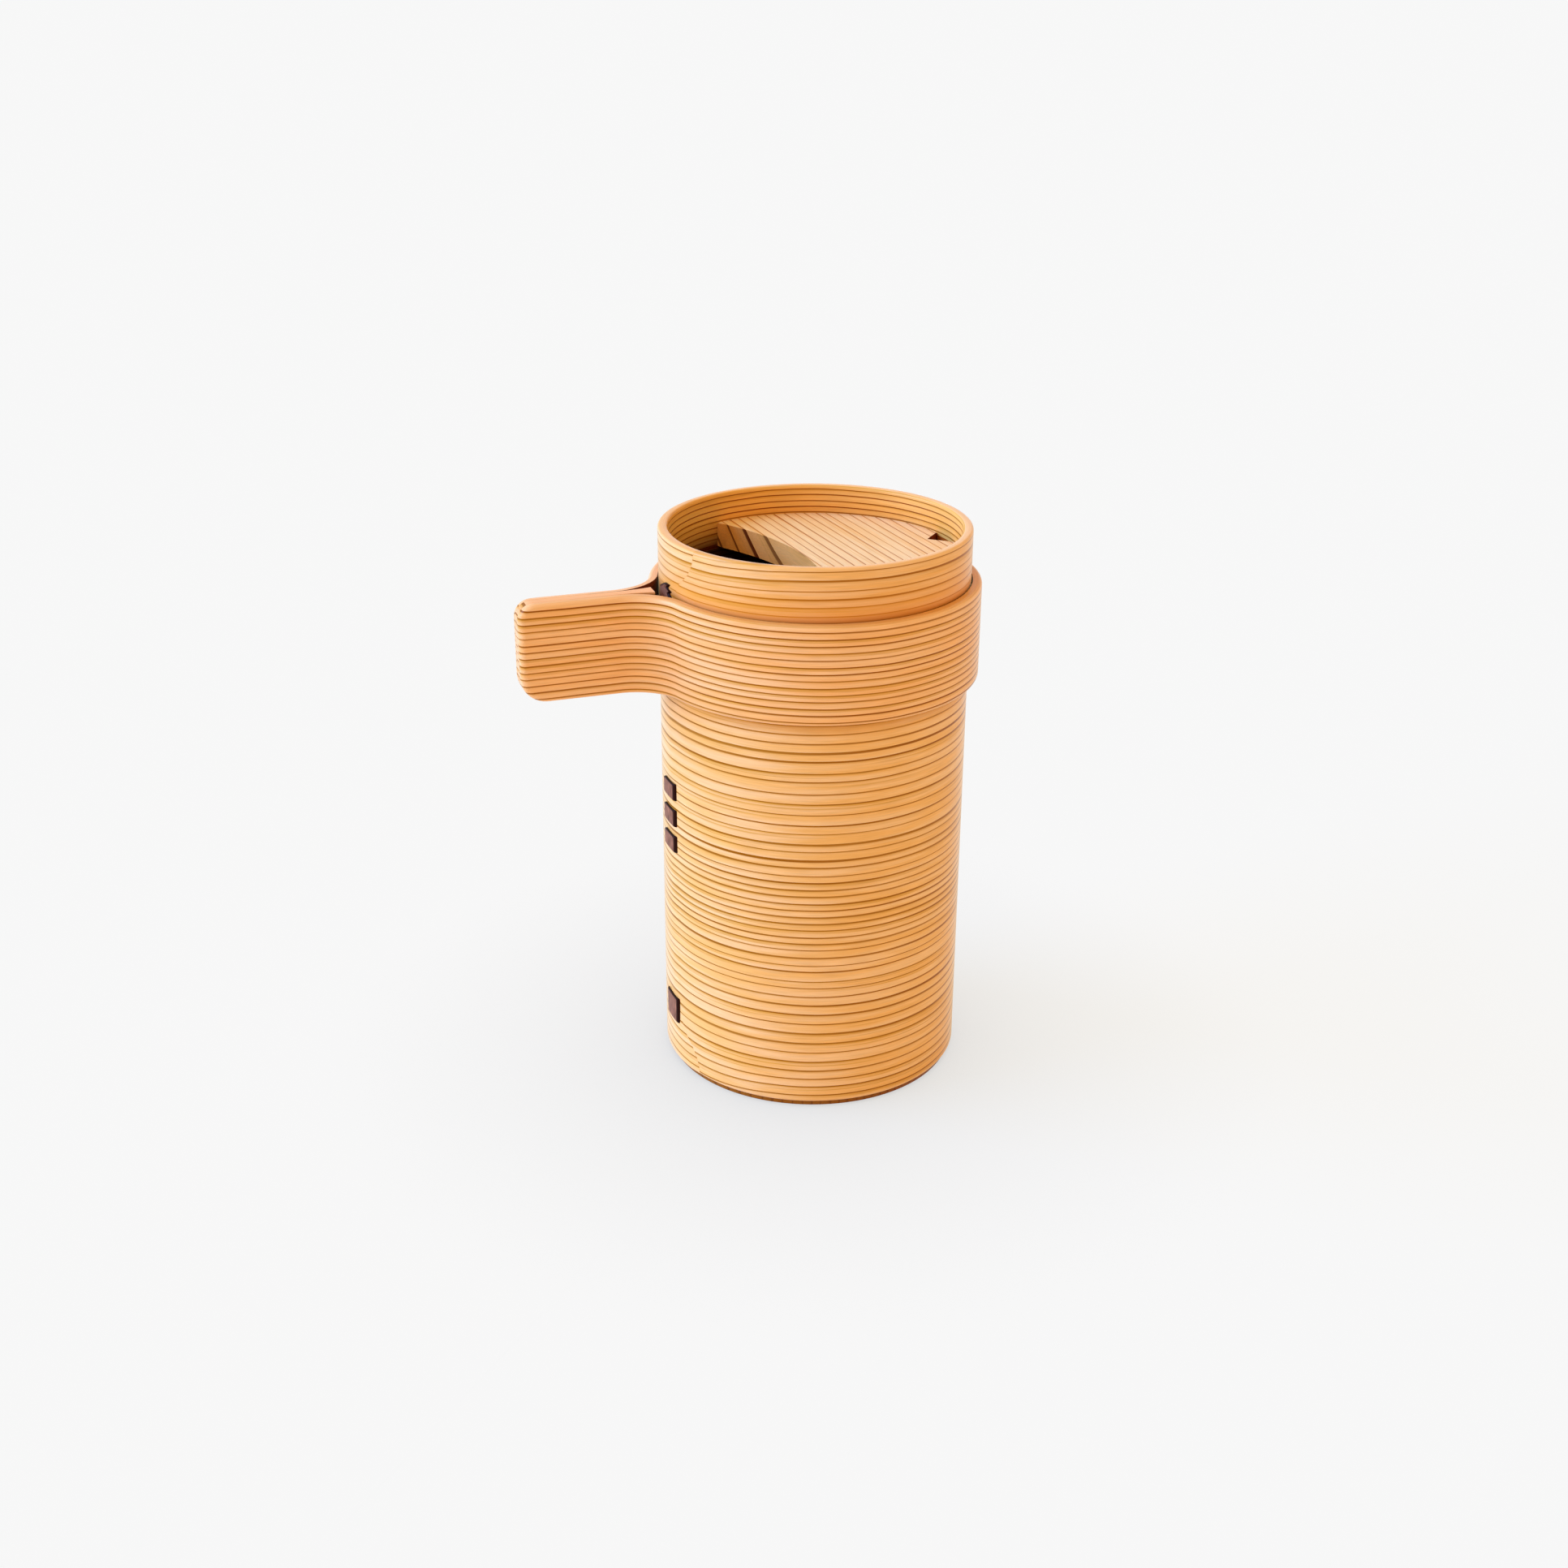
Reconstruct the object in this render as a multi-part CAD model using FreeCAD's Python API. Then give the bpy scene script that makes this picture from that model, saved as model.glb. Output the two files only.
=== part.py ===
import FreeCAD, Part
import math
import os

# Bentwood pouring jug: a cedar strip bent round, lapped and sewn with bark, closed by a bottom plate and a
# recessed top plate, with a second strip bent round it whose two tails make the handle.
# Millimetres, +Z up, origin on the body's axis at the underside of the foot.
# The handle runs out along -X, and the pour notch is on the +X side.

# Body wall
body_diameter = 75.0
wall_thickness = 2.3
wall_height = 137.3
rim_round = 0.7

# Lap of the wall: its outer end is a tongue that climbs over the inner end and widens at both edges
lap_rise = 0.2
lap_sweep = 60.0
lap_root = 0.6
seam_angle = 9.2
flare_reach = 8.3
flare_length = 16.0
flare_start = 16.0

# Bark stitches
bark_thickness = 0.5
stitch_width = 8.8
stitch_inset = 0.15
stitch_height = 4.4
stitch_pitch = 6.95
lacing_drop = 24.0
end_stitch_height = 7.0
base_stitch_rise = 10.5
top_stitch_drop = 10.5
bark_clearance = 0.1

# Bottom plate: a foot under the wall and a spigot inside it
foot_height = 1.5
foot_inset = 0.9
foot_chamfer = 0.4
spigot_height = 5.0
spigot_chamfer = 0.6

# Top plate, set by hand a few degrees off the handle's axis
plate_thickness = 6.2
plate_recess = 7.3
plate_turn = 4.2
opening_offset = 3.5
opening_radius = 66.75
opening_round = 0.3
notch_depth = 5.7
notch_width = 8.2
plate_clearance = 0.05

# Handle band
band_height = 23.9
band_thickness = 2.25
band_drop = 12.7
band_gap = 0.1
bend_radius = 12.0
handle_length = 33.1
corner_top = 4.0
corner_bottom = 6.0
edge_round = 1.1

# Handle core between the tails
core_thickness = 2.4
core_setback = 2.6
core_flare_radius = 50.0
glue_gap = 0.05

# Worked out from the sizes above
body_radius = body_diameter / 2
bore_radius = body_radius - wall_thickness
wall_bottom = foot_height
rim_top = wall_bottom + wall_height
plate_top = rim_top - plate_recess
plate_bottom = plate_top - plate_thickness
band_top = rim_top - band_drop
band_bottom = band_top - band_height
band_inner = body_radius + lap_rise + band_gap
band_outer = band_inner + band_thickness
handle_end = band_outer + handle_length
tail_inner = core_thickness / 2 + glue_gap
tail_outer = tail_inner + band_thickness
bend_y = tail_outer + bend_radius
bend_x = math.sqrt((band_outer + bend_radius) ** 2 - bend_y ** 2)
core_end = band_inner + core_setback
handle_angle = 180.0
lap_start = handle_angle + seam_angle - lap_sweep
lap_centre_angle = lap_start + 90.0
lap_offset = lap_rise / math.sin(math.radians(lap_sweep))
seam_y = -body_radius * math.sin(math.radians(seam_angle))
stitch_near = seam_y + stitch_inset
stitch_far = stitch_near + stitch_width
margin = 2.0
angle_margin = 4.0
touch = 0.2


def vec(x, y, z=0.0):
    return FreeCAD.Vector(x, y, z)


def polar(radius, degrees, z=0.0):
    angle = math.radians(degrees)
    return vec(radius * math.cos(angle), radius * math.sin(angle), z)


lap_centre = polar(lap_offset, lap_centre_angle)


def disc(radius, low, high, centre=vec(0, 0)):
    return Part.makeCylinder(radius, high - low, vec(centre.x, centre.y, low))


def block(low, high):
    return Part.makeBox(high.x - low.x, high.y - low.y, high.z - low.z, low)


def line(start, end):
    return Part.LineSegment(start, end).toShape()


def arc(start, middle, end):
    return Part.Arc(start, middle, end).toShape()


def prism(edges, direction):
    return Part.Face(Part.Wire(edges)).extrude(direction)


def lap_radius(degrees):
    # Distance from the body's axis to the lap's outer face, a circle of the body's radius set off centre.
    turn = math.radians(degrees - lap_centre_angle)
    return lap_offset * math.cos(turn) + math.sqrt(body_radius ** 2 - (lap_offset * math.sin(turn)) ** 2)


def flare(start_z, way):
    # One side of the tongue's edge: two equal arcs in the YZ plane, from the straight seam to full width.
    turn = 2 * math.atan(flare_reach / flare_length)
    radius = flare_length / (2 * math.sin(turn))
    end_y = seam_y - flare_reach
    end_z = start_z + way * flare_length
    near = vec(0, seam_y, start_z)
    middle = vec(0, seam_y - flare_reach / 2, start_z + way * flare_length / 2)
    far = vec(0, end_y, end_z)
    rise = radius * math.sin(turn / 2)
    step = radius * (1 - math.cos(turn / 2))
    first = arc(near, vec(0, seam_y - step, start_z + way * rise), middle)
    second = arc(middle, vec(0, end_y + step, end_z - way * rise), far)
    return near, far, first, second


def lap_tongue():
    # The raised skin of the lap, cut to the outline of the tongue.
    first_angle = lap_start - angle_margin
    widest = flare_reach - seam_y
    last_angle = handle_angle + math.degrees(math.asin(widest / body_radius)) + angle_margin
    middle_angle = (first_angle + last_angle) / 2
    root = body_radius - lap_root
    low = wall_bottom + rim_round
    high = rim_top - rim_round
    out_first = polar(lap_radius(first_angle), first_angle, low)
    out_middle = polar(lap_radius(middle_angle), middle_angle, low)
    out_last = polar(lap_radius(last_angle), last_angle, low)
    in_first = polar(root, first_angle, low)
    in_middle = polar(root, middle_angle, low)
    in_last = polar(root, last_angle, low)
    skin = prism(
        [
            arc(out_first, out_middle, out_last),
            line(out_last, in_last),
            arc(in_last, in_middle, in_first),
            line(in_first, out_first),
        ],
        vec(0, 0, high - low),
    )
    top_near, top_far, top_first, top_second = flare(rim_top - flare_start, 1)
    low_near, low_far, low_first, low_second = flare(wall_bottom + flare_start, -1)
    back_top = vec(0, body_radius, top_far.z)
    back_low = vec(0, body_radius, low_far.z)
    outline = prism(
        [
            line(low_near, top_near),
            top_first,
            top_second,
            line(top_far, back_top),
            line(back_top, back_low),
            line(back_low, low_far),
            low_second,
            low_first,
        ],
        vec(-body_radius - margin, 0, 0),
    )
    return skin.common(outline)


def stitches():
    # Name and lower and upper height of each bark stitch, from the rim down.
    top_high = rim_top - top_stitch_drop
    lace_high = band_bottom - lacing_drop
    base_low = wall_bottom + base_stitch_rise
    spans = {"bark_stitch_top": (top_high - end_stitch_height, top_high)}
    for row, name in enumerate(("upper", "middle", "lower")):
        high = lace_high - row * stitch_pitch
        spans["bark_stitch_" + name] = (high - stitch_height, high)
    spans["bark_stitch_base"] = (base_low, base_low + end_stitch_height)
    return spans


def bark_stitch(low, high):
    # A flat strip sewn through the wall: an outer run on the lap, two legs in the slits and an inner run.
    reach = body_radius + lap_rise + bark_thickness + margin
    inside = bore_radius - bark_clearance
    outside = body_radius + bark_clearance
    end = -bore_radius + wall_thickness + margin
    strip = block(vec(-reach, stitch_near, low), vec(end, stitch_far, high))
    strip = strip.common(disc(outside + bark_thickness, low, high, lap_centre))
    strip = strip.cut(disc(inside - bark_thickness, low, high))
    web_near = stitch_near + bark_thickness
    web_far = stitch_far - bark_thickness
    web = block(vec(-reach, web_near, low), vec(end, web_far, high))
    web = web.common(disc(outside, low, high, lap_centre))
    web = web.cut(disc(inside, low, high))
    return strip.cut(web)


def stitch_slits(low, high):
    # The two slits in the wall that a stitch's legs pass through.
    start = -body_radius - lap_rise - margin
    end = -bore_radius + wall_thickness + margin
    bottom = low - bark_clearance
    top = high + bark_clearance
    slits = []
    for middle in (stitch_near + bark_thickness / 2, stitch_far - bark_thickness / 2):
        half = bark_thickness / 2 + bark_clearance
        slits.append(block(vec(start, middle - half, bottom), vec(end, middle + half, top)))
    return slits


def make_body_wall():
    tube = disc(body_radius, wall_bottom, rim_top).cut(disc(bore_radius, wall_bottom, rim_top))
    rims = [edge for edge in tube.Edges if edge.Closed and edge.BoundBox.ZLength < touch]
    tube = tube.makeFillet(rim_round, rims)
    wall = tube.fuse(lap_tongue()).removeSplitter()
    slits = []
    for low, high in stitches().values():
        slits += stitch_slits(low, high)
    return wall.cut(slits)


def make_bottom_plate():
    foot_radius = body_radius - foot_inset
    spigot_radius = bore_radius - plate_clearance
    spigot_top = wall_bottom + spigot_height
    profile = [
        vec(0, 0, 0),
        vec(foot_radius - foot_chamfer, 0, 0),
        vec(foot_radius, 0, foot_chamfer),
        vec(foot_radius, 0, wall_bottom),
        vec(spigot_radius, 0, wall_bottom),
        vec(spigot_radius, 0, spigot_top - spigot_chamfer),
        vec(spigot_radius - spigot_chamfer, 0, spigot_top),
        vec(0, 0, spigot_top),
    ]
    edges = [line(a, b) for a, b in zip(profile, profile[1:] + profile[:1])]
    return Part.Face(Part.Wire(edges)).revolve(vec(0, 0), vec(0, 0, 1), 360)


def make_top_plate():
    radius = bore_radius - plate_clearance
    plate = disc(radius, plate_bottom, plate_top)
    opening_centre = vec(-opening_offset - opening_radius, 0)
    plate = plate.cut(disc(opening_radius, plate_bottom, plate_top, opening_centre)).removeSplitter()
    lips = []
    for edge in plate.Edges:
        middle = edge.valueAt((edge.FirstParameter + edge.LastParameter) / 2)
        from_centre = math.hypot(middle.x - opening_centre.x, middle.y)
        if abs(from_centre - opening_radius) < touch and middle.z > plate_top - touch:
            lips.append(edge)
    plate = plate.makeFillet(opening_round, lips)
    tip = vec(bore_radius - notch_depth, 0, plate_bottom)
    widen = (notch_depth + margin) / notch_depth
    mouth_x = bore_radius + margin
    left = vec(mouth_x, widen * notch_width / 2, plate_bottom)
    right = vec(mouth_x, -widen * notch_width / 2, plate_bottom)
    notch = prism([line(tip, left), line(left, right), line(right, tip)], vec(0, 0, plate_thickness))
    plate = plate.cut(notch)
    plate.rotate(vec(0, 0), vec(0, 0, 1), plate_turn)
    return plate


def handle_side_view():
    # The handle seen square from its side: a strip whose free end has two rounded corners.
    front = band_outer + margin
    depth = band_outer + margin
    top_turn = math.sqrt(0.5) * corner_top
    low_turn = math.sqrt(0.5) * corner_bottom
    start_top = vec(-handle_end + corner_top, -depth, band_top)
    mid_top = vec(-handle_end + corner_top - top_turn, -depth, band_top - corner_top + top_turn)
    end_top = vec(-handle_end, -depth, band_top - corner_top)
    start_low = vec(-handle_end, -depth, band_bottom + corner_bottom)
    mid_low = vec(-handle_end + corner_bottom - low_turn, -depth, band_bottom + corner_bottom - low_turn)
    end_low = vec(-handle_end + corner_bottom, -depth, band_bottom)
    front_low = vec(front, -depth, band_bottom)
    front_top = vec(front, -depth, band_top)
    edges = [
        arc(start_top, mid_top, end_top),
        line(end_top, start_low),
        arc(start_low, mid_low, end_low),
        line(end_low, front_low),
        line(front_low, front_top),
        line(front_top, start_top),
    ]
    return prism(edges, vec(0, 2 * depth, 0))


def tail_edges(offset, side):
    # One face of one tail in plan, offset inwards from the outer face, from the free end to the ring.
    ring_radius = band_outer - offset
    radius = bend_radius + offset
    centre = vec(-bend_x, side * bend_y, band_bottom)
    free = vec(-handle_end, side * (tail_outer - offset), band_bottom)
    straight = vec(-bend_x, side * (tail_outer - offset), band_bottom)
    meet_angle = math.atan2(bend_y, bend_x)
    meet = vec(-ring_radius * math.cos(meet_angle), side * ring_radius * math.sin(meet_angle), band_bottom)
    half_turn = (math.pi / 2 - meet_angle) / 2
    middle = centre + vec(radius * math.sin(half_turn), -side * radius * math.cos(half_turn))
    return free, meet, [line(free, straight), arc(straight, middle, meet)]


def on_outer_face(point):
    # True on the band's outer face: the ring, the two bends or the tails.
    from_axis = math.hypot(point.x, point.y)
    from_bend = math.hypot(point.x + bend_x, abs(point.y) - bend_y)
    if point.x < -bend_x:
        return abs(abs(point.y) - tail_outer) < touch
    return abs(from_axis - band_outer) < touch or abs(from_bend - bend_radius) < touch


def make_handle_band():
    # A strip bent into a ring with two tails: outer face out and back, then inner face out and back.
    free_a, meet_a, outer_a = tail_edges(0.0, 1)
    free_b, meet_b, outer_b = tail_edges(0.0, -1)
    free_c, meet_c, inner_c = tail_edges(band_thickness, -1)
    free_d, meet_d, inner_d = tail_edges(band_thickness, 1)
    outer_ring = arc(meet_a, vec(band_outer, 0, band_bottom), meet_b)
    inner_ring = arc(meet_c, vec(band_inner, 0, band_bottom), meet_d)
    edges = outer_a + [outer_ring] + outer_b + [line(free_b, free_c)]
    edges += inner_c + [inner_ring] + inner_d + [line(free_d, free_a)]
    strip = prism(Part.__sortEdges__(edges), vec(0, 0, band_height))
    strip = strip.common(handle_side_view())
    corners = []
    for edge in strip.Edges:
        upright = edge.BoundBox.XLength + edge.BoundBox.YLength < touch
        at_end = edge.BoundBox.XMax < -handle_end + touch
        if all(on_outer_face(point) for point in edge.discretize(5)) and (at_end or not upright):
            corners.append(edge)
    return strip.makeFillet(edge_round, corners)


def make_handle_core():
    # The filler between the tails: a flat strip that widens towards the body and stops short of it.
    half = core_thickness / 2
    spread = bend_x - core_end
    middle = spread / 2
    widen_end = core_flare_radius - math.sqrt(core_flare_radius ** 2 - spread ** 2)
    widen_middle = core_flare_radius - math.sqrt(core_flare_radius ** 2 - middle ** 2)
    sides = []
    for side in (1, -1):
        free = vec(-handle_end, side * half, band_bottom)
        straight = vec(-bend_x, side * half, band_bottom)
        halfway = vec(-bend_x + middle, side * (half + widen_middle), band_bottom)
        end = vec(-core_end, side * (half + widen_end), band_bottom)
        sides.append((free, end, [line(free, straight), arc(straight, halfway, end)]))
    (free_a, end_a, edges_a), (free_b, end_b, edges_b) = sides
    edges = edges_a + [line(end_a, end_b)] + edges_b + [line(free_b, free_a)]
    core = prism(Part.__sortEdges__(edges), vec(0, 0, band_height))
    return core.common(handle_side_view())


def main():
    os.makedirs("parts", exist_ok=True)
    pieces = {
        "body_wall": make_body_wall(),
        "bottom_plate": make_bottom_plate(),
        "top_plate": make_top_plate(),
        "handle_band": make_handle_band(),
        "handle_core": make_handle_core(),
    }
    for name, (low, high) in stitches().items():
        pieces[name] = bark_stitch(low, high)
    for name, shape in pieces.items():
        box = shape.BoundBox
        print(name, "solids", len(shape.Solids), "valid", shape.isValid(), "volume", round(shape.Volume, 1),
              "x", round(box.XMin, 2), round(box.XMax, 2), "y", round(box.YMin, 2), round(box.YMax, 2),
              "z", round(box.ZMin, 2), round(box.ZMax, 2))
        shape.exportStep("parts/" + name + ".step")


main()
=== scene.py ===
"""Dresses a bentwood pouring jug: a lapped cedar wall, a bent handle, two plates and bark stitches."""

import logging
import math
from dataclasses import dataclass, field, replace
from enum import Enum

import bmesh
import bpy
from mathutils import Matrix, Vector


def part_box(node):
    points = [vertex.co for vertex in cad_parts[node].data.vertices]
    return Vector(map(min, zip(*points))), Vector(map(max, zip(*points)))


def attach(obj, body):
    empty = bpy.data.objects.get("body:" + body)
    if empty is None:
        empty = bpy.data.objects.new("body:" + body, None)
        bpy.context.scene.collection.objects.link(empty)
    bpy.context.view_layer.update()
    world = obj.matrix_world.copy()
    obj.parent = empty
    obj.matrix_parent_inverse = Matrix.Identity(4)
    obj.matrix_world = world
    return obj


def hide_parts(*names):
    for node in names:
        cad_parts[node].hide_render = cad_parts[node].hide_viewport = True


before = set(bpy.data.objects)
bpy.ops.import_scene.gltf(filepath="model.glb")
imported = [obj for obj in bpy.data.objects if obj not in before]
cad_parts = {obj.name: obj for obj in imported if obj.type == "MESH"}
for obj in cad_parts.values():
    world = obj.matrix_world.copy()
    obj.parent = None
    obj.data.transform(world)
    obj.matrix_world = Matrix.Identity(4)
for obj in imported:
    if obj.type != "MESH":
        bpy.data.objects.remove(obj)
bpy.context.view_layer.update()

# Metres in a millimetre: sizes below are in millimetres, and Blender's are in metres
MM = 0.001
# Vertex attribute that holds a point's place in its board: along the fibres, through it, across the rings
GRAIN = "grain"
# Radius of the wall's bore, which the plates and the stitches fit
BORE = 35.2
LOG = logging.getLogger("jug")

Pair = tuple[float, float]
Triple = tuple[float, float, float]
# A closed loop of points, each with its place in the board
Section = list[tuple[Triple, Triple]]
Material = bpy.types.Material
Node = bpy.types.Node
Piece = bpy.types.Object
Socket = bpy.types.NodeSocket
Tree = bpy.types.NodeTree
# For a socket's name or number, its value or what it is linked to
Inputs = dict[int | str, object]


class Slot(Enum):
    """The record's material slots."""

    WALL = "bent_cedar_wall"
    BAND = "bent_cedar_band"
    PLATE = "sawn_cedar_plate"
    CORE = "cedar_core"
    BARK = "cherry_bark"


class Wood(Enum):
    """The cedar finishes, each named for the wood and how its surface was made, or for the shade painted on
    it.
    """

    WALL = "satin_bent_cedar_wall"
    RECESS = "painted_shade_cedar_recess"
    BORE = "painted_shade_cedar_bore"
    SPOUT = "painted_shade_cedar_spout"
    BAND = "satin_bent_cedar_band"
    INSIDE = "painted_shade_cedar_inner_face"
    CORE = "satin_cedar_core"
    PLATE = "satin_sawn_cedar_plate"
    CUT = "sawn_cedar_end_grain"
    NOTCH = "painted_shade_cedar_notch"
    FOOT = "painted_shade_cedar_bottom"


class Stitch(Enum):
    """The bark stitches, from the rim down."""

    TOP = "top"
    UPPER = "upper"
    MIDDLE = "middle"
    LOWER = "lower"
    BASE = "base"


Woods = dict[Wood, Material]


def box_mm(node: str) -> tuple[Vector, Vector]:
    """Lowest and highest corner of a CAD node, in millimetres."""
    low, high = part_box(node)
    return low / MM, high / MM


def linear(colour: str) -> tuple[float, float, float, float]:
    """Turns an sRGB hex colour to linear RGBA.

    Args:
        colour: six hex digits after a hash sign.

    Returns:
        The linear red, green and blue, with an alpha of 1.
    """
    shares = [int(colour[start:start + 2], 16) / 255 for start in (1, 3, 5)]
    flat = [s / 12.92 if s <= 0.04045 else ((s + 0.055) / 1.055) ** 2.4 for s in shares]
    return (flat[0], flat[1], flat[2], 1.0)


def add_node(tree: Tree, kind: str, inputs: Inputs | None = None, **settings: object) -> Node:
    """Adds a shader node to a tree.

    Args:
        tree: the node tree.
        kind: the node's type, without the word ShaderNode that it starts with.
        inputs: for a socket's name or number, its value, a socket to link it to, or a node to link it to the
            first output of.
        settings: the node's own properties.

    Returns:
        The new node.
    """
    node = tree.nodes.new("ShaderNode" + kind)
    for name, value in settings.items():
        setattr(node, name, value)
    for socket, value in (inputs or {}).items():
        source = value.outputs[0] if isinstance(value, Node) else value
        if isinstance(source, Socket):
            tree.links.new(source, node.inputs[socket])
        else:
            node.inputs[socket].default_value = source
    return node


def new_tree(name: str) -> tuple[Material, Tree]:
    """Makes a material with an empty node tree.

    Args:
        name: the material's name.

    Returns:
        The material and its tree.
    """
    material = bpy.data.materials.new(name)
    material.use_nodes = True
    material.node_tree.nodes.clear()
    return material, material.node_tree


@dataclass
class Surface:
    """Points in millimetres, each one's place in its board, and the faces between them."""

    points: list[Triple]
    grain: list[Triple]
    faces: list[tuple[int, ...]]


def loft(sections: list[Section], closed: bool) -> Surface:
    """Joins equal sections by quads.

    Args:
        sections: closed loops of points. A point faces the one that is as far from the loop's other end.
        closed: whether the last section joins the first. If not, both ends get a cap of quads.

    Returns:
        The closed surface.
    """
    size = len(sections[0])
    last = len(sections) - 1
    faces: list[tuple[int, ...]] = []
    for row in range(len(sections) if closed else last):
        here = row * size
        there = (row + 1) % len(sections) * size
        for place in range(size):
            after = (place + 1) % size
            faces.append((here + place, here + after, there + after, there + place))
    if not closed:
        for base in (0, last * size):
            for place in range(size // 2 - 1):
                far = base + size - 1 - place
                faces.append((base + place, base + place + 1, far - 1, far))
    points = [point for section in sections for point, _ in section]
    grain = [place for section in sections for _, place in section]
    return Surface(points, grain, faces)


def make_piece(
    name: str, surface: Surface, finishes: list[Material], node: str, crease: float = 40.0
) -> Piece:
    """Makes a piece of the jug and puts it in the place of its CAD node.

    Args:
        name: the piece's name.
        surface: its shape.
        finishes: its finish, then those of the faces that are given another one later.
        node: the CAD node that it stands for.
        crease: the angle in degrees from which an edge is shaded sharp.

    Returns:
        The new object.
    """
    mesh = bpy.data.meshes.new(name)
    mesh.from_pydata([Vector(point) * MM for point in surface.points], [], surface.faces)
    places = mesh.attributes.new(GRAIN, "FLOAT_VECTOR", "POINT")
    places.data.foreach_set("vector", [value for place in surface.grain for value in place])
    shell = bmesh.new()
    shell.from_mesh(mesh)
    bmesh.ops.recalc_face_normals(shell, faces=shell.faces)
    shell.to_mesh(mesh)
    shell.free()
    mesh.shade_smooth()
    mesh.set_sharp_from_angle(angle=math.radians(crease))
    for finish in finishes:
        mesh.materials.append(finish)
    piece = bpy.data.objects.new(name, mesh)
    bpy.context.scene.collection.objects.link(piece)
    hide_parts(node)
    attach(piece, "root")
    LOG.info("%s: %d points, %d faces, for %s", name, len(mesh.vertices), len(mesh.polygons), node)
    return piece


def round_over(inset: float, radius: float) -> float:
    """How far a rounded edge lies below its face, at a distance in from the outline."""
    if inset >= radius:
        return 0.0
    return radius - math.sqrt(max(radius ** 2 - (radius - inset) ** 2, 0.0))


def spread(start: float, end: float, count: int) -> list[float]:
    """Evenly spaced values from start to end, both included."""
    return [start + (end - start) * step / (count - 1) for step in range(count)]


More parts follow.
